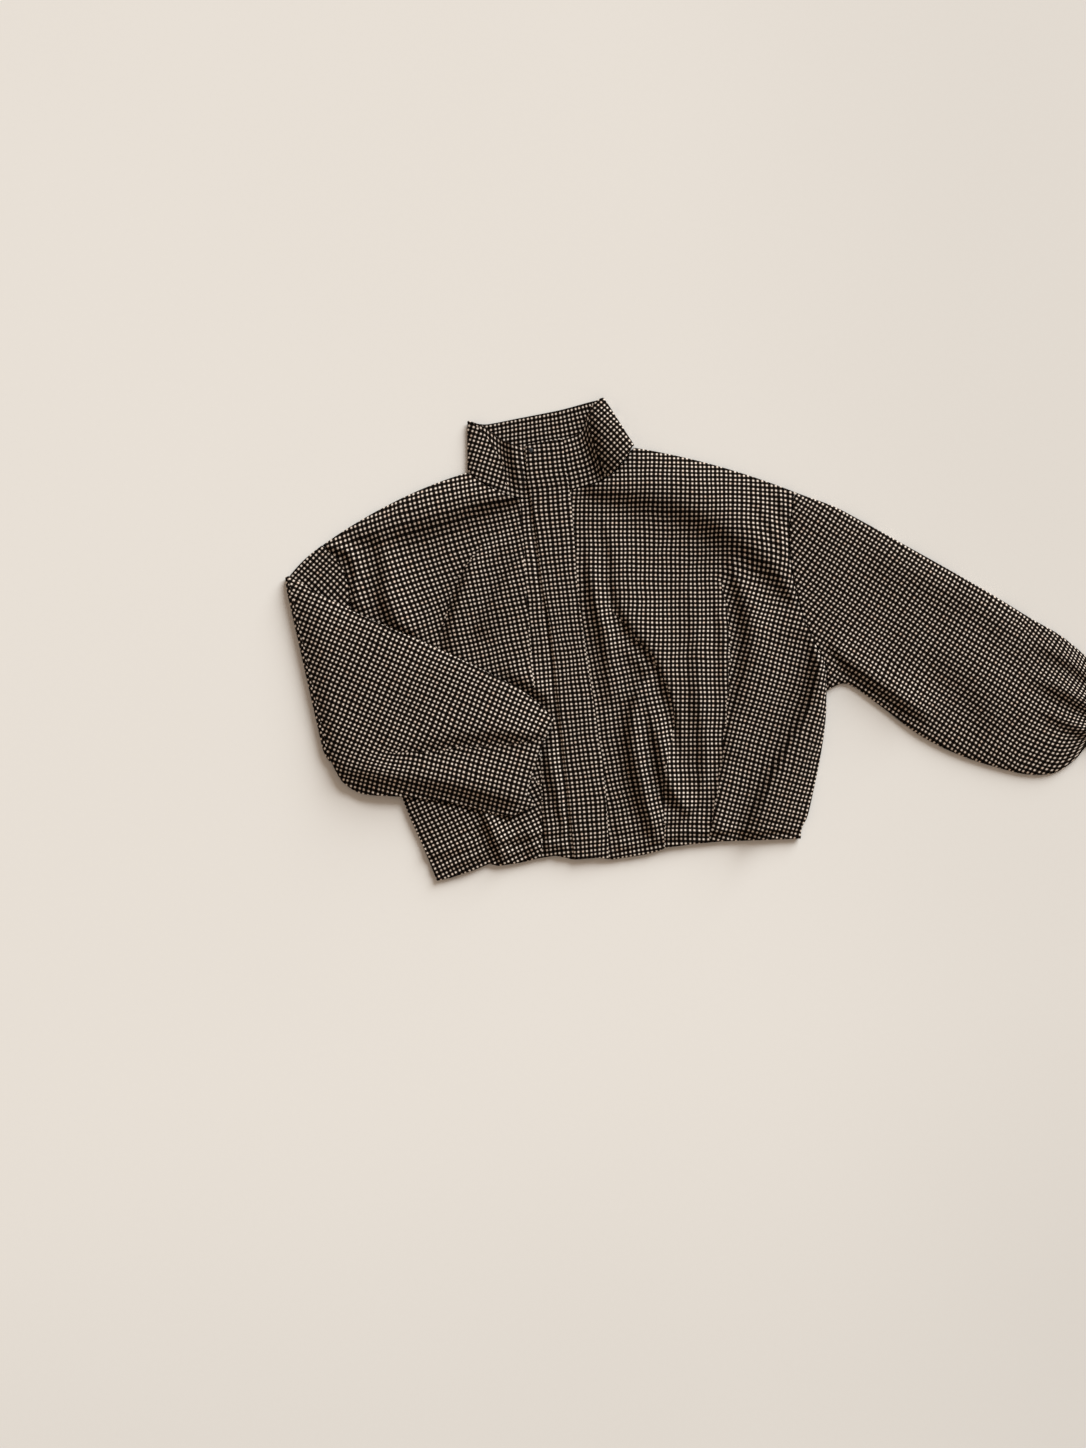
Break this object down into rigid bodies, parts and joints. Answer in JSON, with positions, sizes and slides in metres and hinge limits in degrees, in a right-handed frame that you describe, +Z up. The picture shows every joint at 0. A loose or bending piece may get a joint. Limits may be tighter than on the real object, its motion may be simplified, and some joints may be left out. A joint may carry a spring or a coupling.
{
  "type": "short jacket",
  "caption": "Cropped stand-collar blouson in small-check wool, laid flat, with a covered front, a gathered hem and full sleeves, one lying out and one folded over the front.",
  "frame": {"origin": "middle of the jacket's box in plan, on the surface it lies on", "axes": "+Z up off the surface, +Y along the centre front towards the collar, +X to the viewer's right, along the sleeve that lies out"},
  "size_m": [0.9878, 0.5544, 0.0181],
  "materials": {
    "cloth": "matt wool in a small off-white and black-brown check",
    "stud": "satin black press stud cap"
  },
  "bodies": {
    "root": {"back": "cloth", "front_left": "cloth", "front_right": "cloth", "placket": "cloth", "collar": "cloth", "sleeve_left": "cloth", "sleeve_right": "cloth", "top_stud": "stud"}
  },
  "joints": []
}
